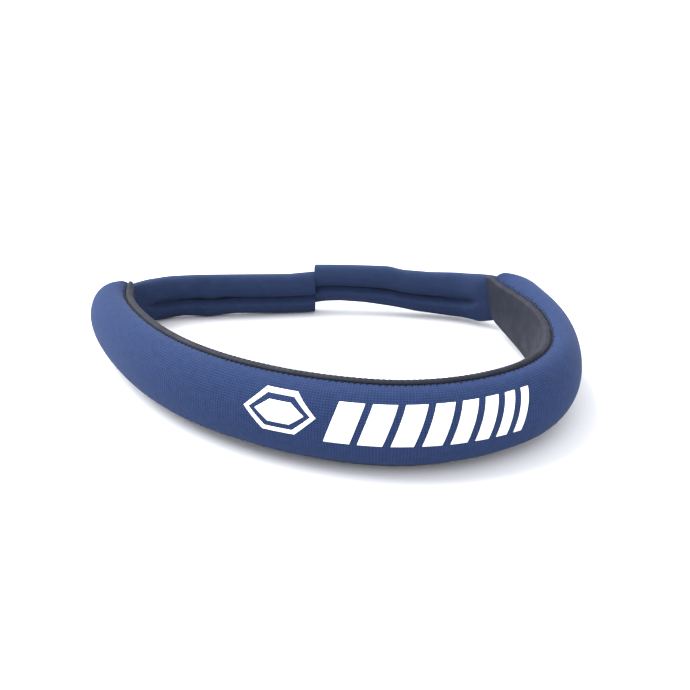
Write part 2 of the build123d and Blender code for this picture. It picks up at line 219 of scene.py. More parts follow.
def seam_table():
    """The seam line as arrays of distance, x, y and heading, shifted to where the CAD cover is."""
    left, left_headings = joins(LEFT_TURNS, LEFT_TAIL_TURNS, -1)
    right, right_headings = joins(RIGHT_TURNS, RIGHT_TAIL_TURNS, 1)
    s = np.linspace(left[-1], right[-1], PLAN_POINTS)
    heading = np.interp(s, left[:0:-1] + right, left_headings[:0:-1] + right_headings)
    step = s[1] - s[0]
    x, y = [
        np.concatenate([[0.0], np.cumsum((way[1:] + way[:-1]) / 2) * step])
        for way in (np.cos(heading), np.sin(heading))
    ]
    on_cover = np.abs(s) <= CUSHION_HALF
    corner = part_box("outer_cover")[0] / MM
    reach = cover_depth(s)
    x += corner.x - np.min((x + reach * np.sin(heading))[on_cover])
    y += corner.y - np.min((y - reach * np.cos(heading))[on_cover])
    give = LEFT_GIVE * np.exp(-(((s - LEFT_GIVE_AT) / LEFT_GIVE_SPREAD) ** 2))
    return s, x + give * np.sin(heading), y - give * np.cos(heading), heading


def taper(s):
    """1 at the middle of the cushion, falling to 0 at its ends."""
    return 1 - np.minimum(1.0, np.abs(s) / CUSHION_HALF) ** TAPER_POWER


def by_side(pair, s):
    """Value for the left or the right side, whichever a distance is on."""
    return np.where(np.asarray(s) < 0, pair[-1], pair[1])


def nearness(s, length, ends=COVER_ENDS):
    """0 until a length from an end, then rising to 1 at the end."""
    return np.clip((np.abs(s) - by_side(ends, s) + length) / length, 0.0, 1.0)


def panel_height(s):
    """Height of the panel, which is rounded off at the corners of its ends."""
    corner = PANEL_CORNER * (1 - np.sqrt(1 - CORNER_REACH * nearness(s, PANEL_CORNER, PANEL_ENDS) ** 2))
    return END_HEIGHT + (MIDDLE_HEIGHT - END_HEIGHT) * taper(s) - 2 * corner


def cushion_lift(s):
    """Height of the middle of the cushion's section above the table, lower towards the ends."""
    end = by_side(END_LIFTS, s)
    return end + (MIDDLE_LIFT - end) * taper(s)


def cover_girth(s):
    """Full height of the cover's section."""
    closing = np.sqrt(1 - by_side(GIRTH_SQUEEZES, s) * nearness(s, END_ROUNDING) ** 2)
    return (END_GIRTH + (MIDDLE_GIRTH - END_GIRTH) * taper(s)) * closing


def cover_section(depth, seam_half, girth, turn):
    """Section of the cover as distances inwards and heights from its middle, for turns from 0 to 1.

    It is the part of an ellipse outside the seam line; it starts and ends just inside the panel's
    two edges.
    """
    girth = np.maximum(girth, 2 * LEAST_GIRTH * seam_half)
    past = np.sqrt(1 - (2 * seam_half / girth) ** 2)
    reach = depth / (1 + past)
    angle = (turn - 0.5) * (pi + 2 * np.arcsin(past)) + pi / 2
    height = girth / 2 * np.cos(angle)
    return -reach * (past + np.sin(angle)), height * np.where(height < 0, 1 - LOWER_TUCK, 1.0)


def cover_depth(s):
    """How far the cover stands outwards from the seam line."""
    closing = np.sqrt(1 - END_SQUEEZE * nearness(s, END_ROUNDING) ** 2)
    return (END_DEPTH + (MIDDLE_DEPTH - END_DEPTH) * taper(s)) * closing


LINE = seam_table()


def place(s, inward, height):
    """Points in metres from a distance along the seam line, one into the neck space and a height."""
    s, inward, height = np.broadcast_arrays(np.asarray(s, float), inward, height)
    x, y, heading = (np.interp(s, LINE[0], column) for column in LINE[1:])
    return np.stack([x - inward * np.sin(heading), y + inward * np.cos(heading), height], -1) * MM


def inward_way(s):
    """Direction into the neck space at a distance along the seam line."""
    heading = np.interp(s, LINE[0], LINE[3])
    return Vector((-np.sin(heading), np.cos(heading), 0.0))


def stations(start, end, pitch):
    """Distances from start to end, both included, about a pitch apart."""
    return np.linspace(start, end, max(2, round(abs(end - start) / pitch)) + 1)


def from_rows(rows, s):
    """Value at a distance from the middle, eased between the rows of a table."""
    places, values = zip(*rows)
    fine = np.arange(places[0], places[-1] + EASE_STEP, EASE_STEP)
    window = np.hanning(2 * EASE_REACH + 1)
    padded = np.pad(np.interp(fine, places, values), EASE_REACH, mode="edge")
    return np.interp(s, fine, np.convolve(padded, window / window.sum(), mode="valid"))


# ---- mesh helpers ----
def grid_faces(rows, columns, closed):
    """Quads between rows of points, wound so that a cover's faces look outwards."""
    faces = []
    for row in range(0, (rows - 1) * columns, columns):
        for c in range(columns if closed else columns - 1):
            after = (c + 1) % columns
            faces.append((row + c, row + after, row + columns + after, row + columns + c))
    return faces


def new_object(name, data):
    """Object in the scene that shows a mesh, a light or a camera."""
    made = bpy.data.objects.new(name, data)
    bpy.context.scene.collection.objects.link(made)
    return made


def mesh_object(name, points, faces):
    """Smooth-shaded object from points in metres and faces, in the scene."""
    mesh = bpy.data.meshes.new(name)
    mesh.from_pydata(np.asarray(points, float).reshape(-1, 3).tolist(), [], faces)
    mesh.shade_smooth()
    return new_object(name, mesh)


def grid_object(name, points, closed=False, cap=False):
    """Object from points shaped (rows, columns, 3); a capped tube is a closed solid."""
    rows, columns = points.shape[:2]
    faces = grid_faces(rows, columns, closed)
    if cap:
        faces += [tuple(range(columns)), tuple(range((rows - 1) * columns, rows * columns))]
    made = mesh_object(name, points, faces)
    if cap:
        face_outwards(made)
    return made


def face_outwards(obj):
    """Turns a closed mesh's faces to look outwards."""
    work = bmesh.new()
    work.from_mesh(obj.data)
    bmesh.ops.recalc_face_normals(work, faces=work.faces)
    work.to_mesh(obj.data)
    work.free()


def cloth_map(obj, points, s, middle):
    """UV map in millimetres for a grid: along the strap, and round it from the middle column."""
    rows, columns = points.shape[:2]
    steps = np.linalg.norm(np.diff(points, axis=1, append=points[:, :1]), axis=2) / MM
    ends = np.concatenate([np.zeros((rows, 1)), np.cumsum(steps, axis=1)], axis=1)
    around = ends - ends[:, middle : middle + 1]
    mesh = obj.data
    layer = mesh.uv_layers.new(name=UV_NAME)
    for polygon in mesh.polygons:
        corners = [mesh.loops[loop].vertex_index for loop in polygon.loop_indices]
        across = {corner % columns for corner in corners}
        wraps = len(corners) == 4 and columns - 1 in across and 0 in across
        for loop, corner in zip(polygon.loop_indices, corners):
            row, column = divmod(corner, columns)
            place_round = columns if wraps and column == 0 else column
            layer.data[loop].uv = (s[row], around[row, place_round])


def bake(obj):
    """Replaces an object's mesh by what its modifiers make of it."""
    graph = bpy.context.evaluated_depsgraph_get()
    graph.update()
    mesh = bpy.data.meshes.new_from_object(obj.evaluated_get(graph))
    mesh.name = obj.name
    obj.modifiers.clear()
    obj.data = mesh
    mesh.shade_smooth()


def subdivide(obj, levels):
    """Smooths an object's mesh by subdivision."""
    obj.modifiers.new("subdivision", "SUBSURF").levels = levels
    bake(obj)


def tube(points, radius, sides=6):
    """Points and faces of a closed round tube along a path that isn't vertical."""
    way = np.gradient(points, axis=0)
    way /= np.linalg.norm(way, axis=1, keepdims=True)
    side = np.cross(way, (0.0, 0.0, 1.0))
    side /= np.linalg.norm(side, axis=1, keepdims=True)
    up = np.cross(side, way)
    turn = np.arange(sides) * 2 * pi / sides
    size = np.full(len(points), radius)
    size[[0, -1]] *= THREAD_END
    ring = side[:, None] * np.cos(turn)[None, :, None] + up[:, None] * np.sin(turn)[None, :, None]
    verts = points[:, None] + ring * size[:, None, None]
    rows = len(points)
    ends = [tuple(range(sides)), tuple(range((rows - 1) * sides, rows * sides))]
    return verts.reshape(-1, 3), grid_faces(rows, sides, True) + ends


def join_parts(name, parts):
    """One object from several sets of points and faces."""
    verts, faces, start = [], [], 0
    for points, some in parts:
        verts.append(points)
        faces += [tuple(start + i for i in face) for face in some]
        start += len(points)
    return mesh_object(name, np.concatenate(verts), faces)


def join_tubes(name, tubes):
    """One object from several closed tubes."""
    made = join_parts(name, tubes)
    face_outwards(made)
    return made


def surface_of(obj):
    """Search tree of an object's mesh, for laying things on it."""
    mesh = obj.data
    return BVHTree.FromPolygons([v.co for v in mesh.vertices], [tuple(p.vertices) for p in mesh.polygons])


def touch(surface, start, way):
    """Where a straight line from start first meets a surface."""
    hit = surface.ray_cast(Vector(start), Vector(way))[0]
    if hit is None:
        raise RuntimeError(f"no surface is met from {tuple(start)}")
    return hit


# ---- materials ----
def linear(code):
    """Linear RGBA from an sRGB hex value."""
    levels = [int(code[i : i + 2], 16) / 255 for i in (1, 3, 5)]
    return [v / 12.92 if v <= 0.04045 else ((v + 0.055) / 1.055) ** 2.4 for v in levels] + [1.0]


def add(tree, kind, settings=None, inputs=None):
    """Adds a shader node; inputs takes values or other nodes' outputs, by socket name or number."""
    made = tree.nodes.new("ShaderNode" + kind)
    for name, value in (settings or {}).items():
        setattr(made, name, value)
    for name, value in (inputs or {}).items():
        if isinstance(value, bpy.types.NodeSocket):
            tree.links.new(value, made.inputs[name])
        else:
            made.inputs[name].default_value = value
    return made


def new_material(name):
    """Empty node material and its tree."""
    made = bpy.data.materials.new(name)
    made.use_nodes = True
    made.node_tree.nodes.clear()
    return made, made.node_tree


def finished(material, sockets):
    """The material, ended with a principled shader that takes these values or outputs."""
    shader = add(material.node_tree, "BsdfPrincipled", inputs=sockets)
    add(material.node_tree, "OutputMaterial", inputs={"Surface": shader.outputs[0]})
    return material


def object_place(tree):
    """Place on the object, in metres."""
    return add(tree, "TexCoord").outputs["Object"]


def noise(tree, at, scale, detail, roughness=0.5):
    settings = {"Vector": at, "Scale": scale, "Detail": detail, "Roughness": roughness}
    return add(tree, "TexNoise", inputs=settings).outputs["Fac"]


def cells(tree, at, scale):
    """Distance from the middle of the nearest of many scattered cells."""
    return add(tree, "TexVoronoi", inputs={"Vector": at, "Scale": scale}).outputs["Distance"]


def waves(tree, direction, at, scale):
    settings = {"Vector": at, "Scale": scale}
    return add(tree, "TexWave", {"bands_direction": direction}, settings).outputs["Fac"]


def between(tree, share, first, second):
    """Value a share of the way from the first to the second."""
    return add(tree, "Mix", {"data_type": "FLOAT"}, {0: share, 2: first, 3: second}).outputs[0]


def remap(tree, value, source, target):
    """Value moved from one range to another, each a pair, and held within it."""
    settings = {0: value, 1: source[0], 2: source[1], 3: target[0], 4: target[1]}
    return add(tree, "MapRange", inputs=settings).outputs[0]


def brighten(tree, colour, factor):
    settings = {0: colour, "Scale": factor}
    return add(tree, "VectorMath", {"operation": "SCALE"}, settings).outputs[0]


def bumps(tree, strength, distance, height):
    """Normal of a surface with relief; the distance is in metres."""
    settings = {"Strength": strength, "Distance": distance, "Height": height}
    return add(tree, "Bump", inputs=settings).outputs[0]


def wave_scale(pitch):
    """Scale of a wave texture whose bands are a pitch apart."""
    return 2 * pi / 20 / pitch


def knit_height(tree, finish):
    """Height of a jersey knit, 0 to 1, and the cloth's map it is laid on, in millimetres.

    Wales run along the strap; each is a column of V-shaped loops.
    """
    wale, course = finish.wale_pitch / MM, finish.course_pitch / MM
    cloth = add(tree, "UVMap", {"uv_map": UV_NAME}).outputs[0]
    along, across = add(tree, "SeparateXYZ", inputs={0: cloth}).outputs[:2]
    fold = add(tree, "Math", {"operation": "PINGPONG"}, {0: across, 1: wale / 2}).outputs[0]
    slanted = {0: fold, 1: LOOP_SLANT, 2: along}
    slant = add(tree, "Math", {"operation": "MULTIPLY_ADD"}, slanted).outputs[0]
    loops_at = add(tree, "CombineXYZ", inputs={0: slant, 1: across}).outputs[0]
    loops = waves(tree, "X", loops_at, wave_scale(course))
    wales = waves(tree, "Y", cloth, wave_scale(wale))
    return between(tree, LOOP_SHARE, wales, loops), cloth


def jersey_material(name, finish, light, dark, relief_strength):
    """Nylon jersey laminated on neoprene, knitted: matt, with fine ribs along the strap, painted shade
    between the ribs, and a soft bloom at grazing angles from its loose fibres."""
    made, tree = new_material(name)
    knit, cloth = knit_height(tree, finish)
    # yarn irregularity, about 2.5 mm blotches, and fibre fuzz finer than a loop
    blotches = noise(tree, cloth, 0.4, 3.0, 0.6)
    fuzz = noise(tree, cloth, 2.6, 2.0, 0.7)
    # painted shade: the yarn's colour follows the knit's relief and is darkest between the ribs
    groove_shade_share = between(tree, 0.3, knit, fuzz)
    yarn = add(tree, "Mix", {"data_type": "RGBA"}, {0: groove_shade_share, 6: list(dark), 7: list(light)})
    shade = remap(tree, blotches, (0.3, 0.7), (0.88, 1.12))
    relief = between(tree, 0.2, knit, fuzz)
    return finished(made, {
        "Base Color": brighten(tree, yarn.outputs[2], shade),
        "Normal": bumps(tree, relief_strength, 0.00014, relief),
        "Roughness": 0.88, "Specular IOR Level": 0.1,
        "Sheen Weight": 0.09, "Sheen Roughness": 0.5, "Sheen Tint": linear("#8fa8de"),
    })


def skin_material(name, colour):
    """Smooth-skin neoprene, pressed against a plate as it was foamed: a dull rubber sheen broken by
    fine pores and by faint blotches where it has been handled."""
    made, tree = new_material(name)
    at = object_place(tree)
    blotches = noise(tree, at, 160.0, 4.0, 0.6)
    pores = cells(tree, at, 1800.0)  # 0.55 mm apart
    shade = remap(tree, blotches, (0.3, 0.7), (0.8, 1.2))
    return finished(made, {
        "Base Color": brighten(tree, colour[:3], shade),
        "Roughness": remap(tree, blotches, (0.3, 0.7), (0.72, 0.58)),
        "Normal": bumps(tree, 0.4, 0.0001, between(tree, 0.4, blotches, pores)),
        "Specular IOR Level": 0.14,
    })


def thread_material(name, colour):
    """Polyester sewing thread, twisted from filaments: dark, with a painted glint along each ply and
    painted shade between the plies.
    """
    made, tree = new_material(name)
    plies = waves(tree, "DIAGONAL", object_place(tree), 700.0)
    # painted highlight and shade: the colour brightens along each ply and darkens between them
    shade = remap(tree, plies, (0.0, 1.0), (0.6, 1.3))
    return finished(made, {
        "Base Color": brighten(tree, colour[:3], shade),
        "Normal": bumps(tree, 0.5, 0.00006, plies),
        "Roughness": 0.6, "Specular IOR Level": 0.1,
    })


def film_material(name, colour):
    """Plastisol ink, screen printed and cured: an opaque white film, satin, pitted where it sank
    between the loops of the knit."""
    made, tree = new_material(name)
    pits = noise(tree, object_place(tree), 1100.0, 2.0)
    # painted shade: the ink's colour darkens in the pits of its relief
    shade = remap(tree, pits, (0.25, 0.6), (0.93, 1.0))
    return finished(made, {
        "Base Color": brighten(tree, colour[:3], shade),
        "Normal": bumps(tree, 0.35, 0.00006, pits),
        "Roughness": 0.5,
    })


def foam_material(name, colour):
    """Closed-cell polyethylene foam, blown and cut: pale grey with 1 mm cells that show as pits."""
    made, tree = new_material(name)
    pits = cells(tree, object_place(tree), 1000.0)
    # painted shade: the colour darkens in the middle of each cell's pit
    shade = remap(tree, pits, (0.0, 0.6), (0.75, 1.0))
    return finished(made, {
        "Base Color": brighten(tree, colour[:3], shade),
        "Normal": bumps(tree, 0.6, 0.0002, pits),
        "Roughness": 0.9,
    })


def paper_material(name, colour):
    """Seamless background paper, calendered: pale and fully matt; strong light turns it white."""
    made, tree = new_material(name)
    fibres = noise(tree, object_place(tree), 400.0, 3.0)
    return finished(made, {
        "Base Color": list(colour),
        "Normal": bumps(tree, 0.05, 0.0001, fibres),
        "Roughness": 1.0, "Specular IOR Level": 0.0,
    })


def paint(obj, material):
    """Gives an object its one material."""
    obj.data.materials.clear()
    obj.data.materials.append(material)


# ---- properties ----
def colour_property(name, description, code):
    return FloatVectorProperty(
        name=name, description=description, default=linear(code), size=4, subtype="COLOR", min=0.0, max=1.0
    )


def length_property(name, description, value):
    return FloatProperty(name=name, description=description, default=value, unit="LENGTH", precision=5)


class CushionSettings(bpy.types.PropertyGroup):
    """Cloth of the padded cushion."""

    cloth_pitch: length_property("Cloth pitch", "Spacing of the cloth's points", 0.004)
    tuck: length_property("Tuck", "How far inside its shape the cloth starts", 0.0009)
    puff: length_property("Puff", "Most that the pressure may move a point", 0.0014)
    wall: length_property("Wall", "Thickness of the laminated cloth", 0.0014)
    pressure: FloatProperty(name="Pressure", description="Pressure of the foam inside", default=4.0)
    frames: IntProperty(name="Frames", description="Simulated steps", default=20, min=2)


class PanelSettings(bpy.types.PropertyGroup):
    """Smooth panel against the neck."""

    thickness: length_property("Thickness", "Thickness of the neoprene sheet", 0.003)
    pitch: length_property("Pitch", "Spacing of the panel's rows", 0.0007)
    pillow: length_property("Pillow", "How far the middle stands out", 0.0006)
    scallop: length_property("Scallop", "How deep each stitch pulls the edge in", 0.00025)


class StitchSettings(bpy.types.PropertyGroup):
    """Overlock stitches along the cushion's two edges."""

    pitch: length_property("Pitch", "Spacing of the stitches", 0.0021)
    radius: length_property("Radius", "Radius of the sewing thread", 0.00019)
    reach: length_property("Reach", "How far a stitch runs onto the cover", 0.0009)
    slant: length_property("Slant", "How far a stitch leans along the seam", 0.0007)


class PrintSettings(bpy.types.PropertyGroup):
    """Printed emblem and bars."""

    film: length_property("Film", "Thickness of the printed film", 0.00012)
    pitch: length_property("Pitch", "Spacing of the film's points", 0.001)


class SleeveSettings(bpy.types.PropertyGroup):
    """Soft sleeves for the temple arms."""

    wall: length_property("Wall", "Thickness of the sleeve's cloth", 0.0016)
    groove_depth: length_property("Groove depth", "Depth of the butt seam's groove", 0.0024)
    groove_width: length_property("Groove width", "Half width of the butt seam's groove", 0.0014)
    pitch: length_property("Pitch", "Spacing of the sleeve's rows", 0.0014)
    columns: IntProperty(name="Columns", description="Points round the sleeve", default=88, min=24)


class FinishSettings(bpy.types.PropertyGroup):
    """Colours and textile pitches."""

    wale_pitch: length_property("Wale pitch", "Spacing of the knit's ribs", 0.00095)
    course_pitch: length_property("Course pitch", "Spacing of the loops along a rib", 0.0010)
    cover_light: colour_property("Cover, raised yarn", "Colour of the knit's loops", "#293a60")
    # painted shade: the colour between the ribs stands for the shade that falls there
    cover_rib_shade: colour_property("Cover, between ribs", "Colour between the knit's ribs", "#0d162e")
    # painted shade: both sleeve colours are the cover's jersey darkened for the shade the sleeves lie in,
    # and the second is darker again between the ribs
    sleeve_shaded_yarn: colour_property("Sleeve, raised yarn", "Colour of the sleeve knit's loops", "#212e4c")
    sleeve_rib_shade: colour_property("Sleeve, between ribs", "Colour between the sleeve's ribs", "#172138")
    panel: colour_property("Panel", "Colour of the smooth neoprene", "#181b26")
    stitch: colour_property("Stitching", "Colour of the overlock thread", "#0c0d10")
    sleeve_thread: colour_property("Sleeve seam", "Colour of the sleeves' seam thread", "#101728")
    ink: colour_property("Print", "Colour of the printed film", "#fbfdfb")
    foam: colour_property("Foam", "Colour of the foam core", "#c9cbd0")
    paper: colour_property("Paper", "Colour of the floor", "#cbccd1")


class StageSettings(bpy.types.PropertyGroup):
    """Floor, lights and camera."""

    floor: length_property("Floor", "Side of the square floor", 6.0)
    lens: FloatProperty(name="Lens", description="Focal length, millimetres", default=64.7)
    pitch: FloatProperty(
        name="Pitch", description="How far the camera looks down", default=radians(25.39), unit="ROTATION"
    )
    eye: FloatVectorProperty(
        name="Eye", description="Place of the camera", default=(0.0066, -0.4307, 0.2208), unit="LENGTH"
    )
    sky: FloatProperty(name="Sky", description="Brightness of the white surround", default=2.0)
    key: FloatProperty(name="Key", description="Strength of the key light", default=6.0)
    fill: FloatProperty(name="Fill", description="Strength of the fill light", default=0.6)


# ---- cushion ----
def cover_grid(pitch, tuck):
    """Rows of points over the cushion: distances (rows,) and points (rows, columns, 3).

    The last rows at each end close over the root of the sleeve.
    """
    ends = np.array([-COVER_ENDS[-1], COVER_ENDS[1]])
    s = stations(*ends, pitch)
    depth, seam_half, girth = cover_depth(s), panel_height(s) / 2 - PANEL_PROUD, cover_girth(s)
    for out, depth_share, height_share in COVER_CLOSING:
        s = np.concatenate([[ends[0] - out], s, [ends[1] + out]])
        depth = np.insert(cover_depth(ends) * depth_share, 1, depth)
        seam_half = np.pad(seam_half, 1, mode="edge")
        girth = np.insert(cover_girth(ends) * height_share, 1, girth)
    turn = np.linspace(0.0, 1.0, COVER_COLUMNS)[None]
    inward, height = cover_section(depth[:, None], seam_half[:, None], girth[:, None], turn)
    shrink = tuck * np.sin(pi * turn) ** 0.5
    inward = inward + shrink * (-inward / depth[:, None])
    height = height * (1 - 2 * shrink / girth[:, None])
    return s, place(s[:, None], inward, cushion_lift(s)[:, None] + height)


def inflate(points, settings):
    """Presses the cloth outwards by simulation; its seams and ends stay where they are."""
    rows, columns = points.shape[:2]
    balloon = grid_object("cushion_balloon", points, closed=True, cap=True)
    pinned = balloon.vertex_groups.new(name="sewn")
    row, column = np.divmod(np.arange(rows * columns), columns)
    held = (column == 0) | (column == columns - 1) | (row < 2) | (row > rows - 3)
    pinned.add([int(i) for i in np.flatnonzero(held)], 1.0, "ADD")
    cloth = balloon.modifiers.new("cloth", "CLOTH")
    cloth.settings.vertex_group_mass = "sewn"
    cloth.settings.use_pressure = True
    cloth.settings.uniform_pressure_force = settings.pressure
    cloth.settings.effector_weights.gravity = 0.0
    cloth.settings.quality = 6
    cloth.collision_settings.use_collision = False
    cloth.point_cache.frame_end = settings.frames
    scene = bpy.context.scene
    for step in range(1, settings.frames + 1):
        scene.frame_set(step)
    graph = bpy.context.evaluated_depsgraph_get()
    blown = np.array([v.co for v in balloon.evaluated_get(graph).data.vertices]).reshape(points.shape)
    scene.frame_set(1)
    bpy.data.objects.remove(balloon)
    return blown


def limited(points, blown, most):
    """Moves points towards where the pressure took them, never further than most."""
    move = blown - points
    size = np.linalg.norm(move, axis=2, keepdims=True)
    return points + move * (most * np.tanh(size / most) / np.maximum(size, 1e-9))


class RETAINER_OT_cover(bpy.types.Operator):
    """Knitted cover of the cushion, inflated over its foam"""

    bl_idname = "retainer.cover"
    bl_label = "Cushion cover"

    def execute(self, context):
        settings, finish = context.scene.retainer_cushion, context.scene.retainer_finish
        s, points = cover_grid(settings.cloth_pitch / MM, settings.tuck / MM)
        points = limited(points, inflate(points, settings), settings.puff)
        cover = grid_object("cushion_cover_cloth", points)
        cloth_map(cover, points, s, points.shape[1] // 2)
        subdivide(cover, 2)
        wall = cover.modifiers.new("wall", "SOLIDIFY")
        wall.thickness, wall.offset = settings.wall, -1.0
        bake(cover)
        colours = finish.cover_light, finish.cover_rib_shade
        paint(cover, jersey_material("blue_nylon_jersey_rib_shade", finish, *colours, 0.7))
        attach(cover, "cushion")
        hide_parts("outer_cover")
        return {"FINISHED"}


class RETAINER_OT_core(bpy.types.Operator):
    """Foam core that fills the cushion and makes the strap float"""

    bl_idname = "retainer.core"
    bl_label = "Foam core"

    def execute(self, context):
        s = stations(-CORE_LIMIT, CORE_LIMIT, CORE_PITCH)[:, None]
        turn = np.linspace(0.0, 1.0, 2 * COVER_COLUMNS)[None]
        seam_half = panel_height(s) / 2 - PANEL_PROUD - CORE_INSET / 2
        depth, girth = cover_depth(s) - CORE_INSET, cover_girth(s) - 2 * CORE_INSET
        inward, height = cover_section(depth, seam_half, girth, turn)
        points = place(s, inward - LAYER_GAP, cushion_lift(s) + height)
        core = grid_object("float_core_foam", points, closed=True, cap=True)
        paint(core, foam_material("polyethylene_foam_cut", context.scene.retainer_finish.foam))
        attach(core, "cushion")
        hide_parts("float_core")
        return {"FINISHED"}


# ---- panel and its stitches ----
def panel_outline():
    """Points round the panel's section: side (-1 to 1), straight share and round share of height."""
    top = np.linspace(0.0, pi, 11)
    outer = np.linspace(0.8, -0.8, 5)
    inner = np.linspace(-0.9, 0.9, 15)
    side = np.concatenate([np.cos(top), -np.ones(5), np.cos(top + pi), np.ones(15)])
    straight = np.concatenate([np.ones(11), outer, -np.ones(11), inner])
    rounded = np.concatenate([np.sin(top), np.zeros(5), np.sin(top + pi), np.zeros(15)])
    return side, straight, rounded


class RETAINER_OT_panel(bpy.types.Operator):
    """Smooth neoprene panel that lies against the neck"""

    bl_idname = "retainer.panel"
    bl_label = "Neck panel"

    def execute(self, context):
        settings, stitch = context.scene.retainer_panel, context.scene.retainer_stitch
        radius = settings.thickness / MM / 2
        rounding = radius * (1 - np.sin(np.linspace(0.0, pi / 2, 5)[1:]))
        body = stations(radius - PANEL_ENDS[-1], PANEL_ENDS[1] - radius, settings.pitch / MM)
        s = np.concatenate([rounding[::-1] - PANEL_ENDS[-1], body, PANEL_ENDS[1] - rounding])[:, None]
        side, straight, rounded = panel_outline()
        pinch = 1 - PINCH_SHARE * nearness(s, PANEL_PINCH, PANEL_ENDS) ** 2
        thin = radius * pinch * np.sqrt(1 - CORNER_REACH * nearness(s, radius, PANEL_ENDS) ** 2)
        pull = settings.scallop / MM * (0.5 + 0.5 * np.cos(2 * pi * s / (stitch.pitch / MM)))
        near_edge = np.abs(straight) * (np.abs(rounded) > 0.1)
        ease = sum(rise * np.sin(s / length + phase) for rise, length, phase in PANEL_WAVES)
        pillow = (settings.pillow / MM + ease) * (1 - straight**2) * (side > 0.99) * (thin / radius)
        middle = LAYER_GAP + radius * pinch
        edge = thin - pull * near_edge * (side < 0.6)
        height = straight * (panel_height(s) / 2 - radius) + rounded * edge
        flare = by_side(PANEL_FLARES, s) * nearness(s, PANEL_FLARE_LENGTH, PANEL_ENDS) ** 2
        upper = np.clip(0.5 + height / panel_height(s), 0.0, 1.0)
        lean = by_side(PANEL_LEANS, s) * nearness(s, PANEL_LEAN_LENGTH, PANEL_ENDS) ** 2 * upper
        at = s + np.sign(s) * lean
        points = place(at, middle + side * thin + pillow, cushion_lift(s) + height + flare * upper**2)
        panel = grid_object("neck_panel_sheet", points, closed=True, cap=True)
        paint(panel, skin_material("black_neoprene_smooth_skin", context.scene.retainer_finish.panel))
        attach(panel, "cushion")
        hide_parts("back_panel")
        return {"FINISHED"}


class RETAINER_OT_stitching(bpy.types.Operator):
    """Overlock stitches that close the cover to the panel, above and below"""

    bl_idname = "retainer.stitching"
    bl_label = "Edge stitching"

    def execute(self, context):
        settings = context.scene.retainer_stitch
        material = thread_material("black_polyester_thread_twisted", context.scene.retainer_finish.stitch)
        surface = surface_of(bpy.data.objects["cushion_cover_cloth"])
        radius, reach, slant = (value / MM for value in (settings.radius, settings.reach, settings.slant))
        first, last = STITCH_MARGIN - COVER_ENDS[-1], COVER_ENDS[1] - STITCH_MARGIN
        for name, up in (("upper", 1), ("lower", -1)):
            run = stations(first, last, SEAM_PITCH)
            seam = cushion_lift(run) + up * (panel_height(run) / 2 - PANEL_PROUD + SEAM_RISE)
            parts = [tube(place(run, -0.12, seam), radius * MM)]
            for number, s in enumerate(stations(first, last, settings.pitch / MM)):
                uneven = 1 + STITCH_UNEVENNESS * np.sin(number * 2.3) * np.sin(number * 0.7)
                reach_here = reach * uneven
                start = place(s - slant, -reach_here, cushion_lift(s) + up * FAR_OUT)
                on_cover = touch(surface, start, (0.0, 0.0, -up)).z / MM
                edge = cushion_lift(s) + up * (panel_height(s) / 2)
                # five points: two on the cover, three over the seam to the round of the panel's edge
                along = s + slant * np.array([-1.0, -0.8, -0.2, 0.4, 0.7])
                inward = [-reach_here - 0.1, -reach_here + 0.1, -0.3, 0.05, 0.3]
                on_panel = edge - up * np.array([1.15, 0.95, 1.0])
                height = [on_cover - up * 0.2, on_cover + up * radius * 0.6, *on_panel]
                parts.append(tube(place(along, inward, height), radius * MM))
            stitching = join_tubes(f"{name}_edge_stitching", parts)
            paint(stitching, material)
            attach(stitching, "cushion")
            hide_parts(f"{name}_seam_thread")
        return {"FINISHED"}


# ---- print ----
def film_patch(surface, s, height, lift):
    """Points of a film laid on the cover at distances and heights given as grids of one shape."""
    laid = np.zeros(s.shape + (3,))
    for index in np.ndindex(s.shape):
        way = inward_way(s[index])
        start = place(s[index], -FAR_OUT, cushion_lift(s[index]) + height[index])
        laid[index] = touch(surface, start, way) - way * lift
    return laid


def hexagon_edge(inset, turn):
    """Outline of the emblem, or of one smaller by an inset, at angles round its middle."""
    middle = (EMBLEM_TOP + EMBLEM_BOTTOM) / 2
    half, tall = EMBLEM_LENGTH / 2, (EMBLEM_TOP - EMBLEM_BOTTOM) / 2
    slope = EMBLEM_LENGTH * EMBLEM_POINT
    corners = np.array([
        (half, 0.0), (half - slope, tall), (slope - half, tall),
        (-half, 0.0), (slope - half, -tall), (half - slope, -tall), (half, 0.0),
    ])
    corners = corners * np.array([1 - inset / half * EMBLEM_SLOPE_INSET, 1 - inset / tall])
    at = turn / (2 * pi) * 6
    s = np.interp(at, range(7), corners[:, 0]) + EMBLEM_START + half
    return s, np.interp(at, range(7), corners[:, 1]) + middle


def film_object(name, patches, film, material, node):
    """One printed piece from patches; each is a grid of points, its columns closed or open."""
    parts = [(grid.reshape(-1, 3), grid_faces(*grid.shape[:2], closed)) for grid, closed in patches]
    made = join_parts(name, parts)
    solid = made.modifiers.new("film", "SOLIDIFY")
    solid.thickness, solid.offset = film, -1.0
    bake(made)
    paint(made, material)
    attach(made, "cushion")
    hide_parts(node)


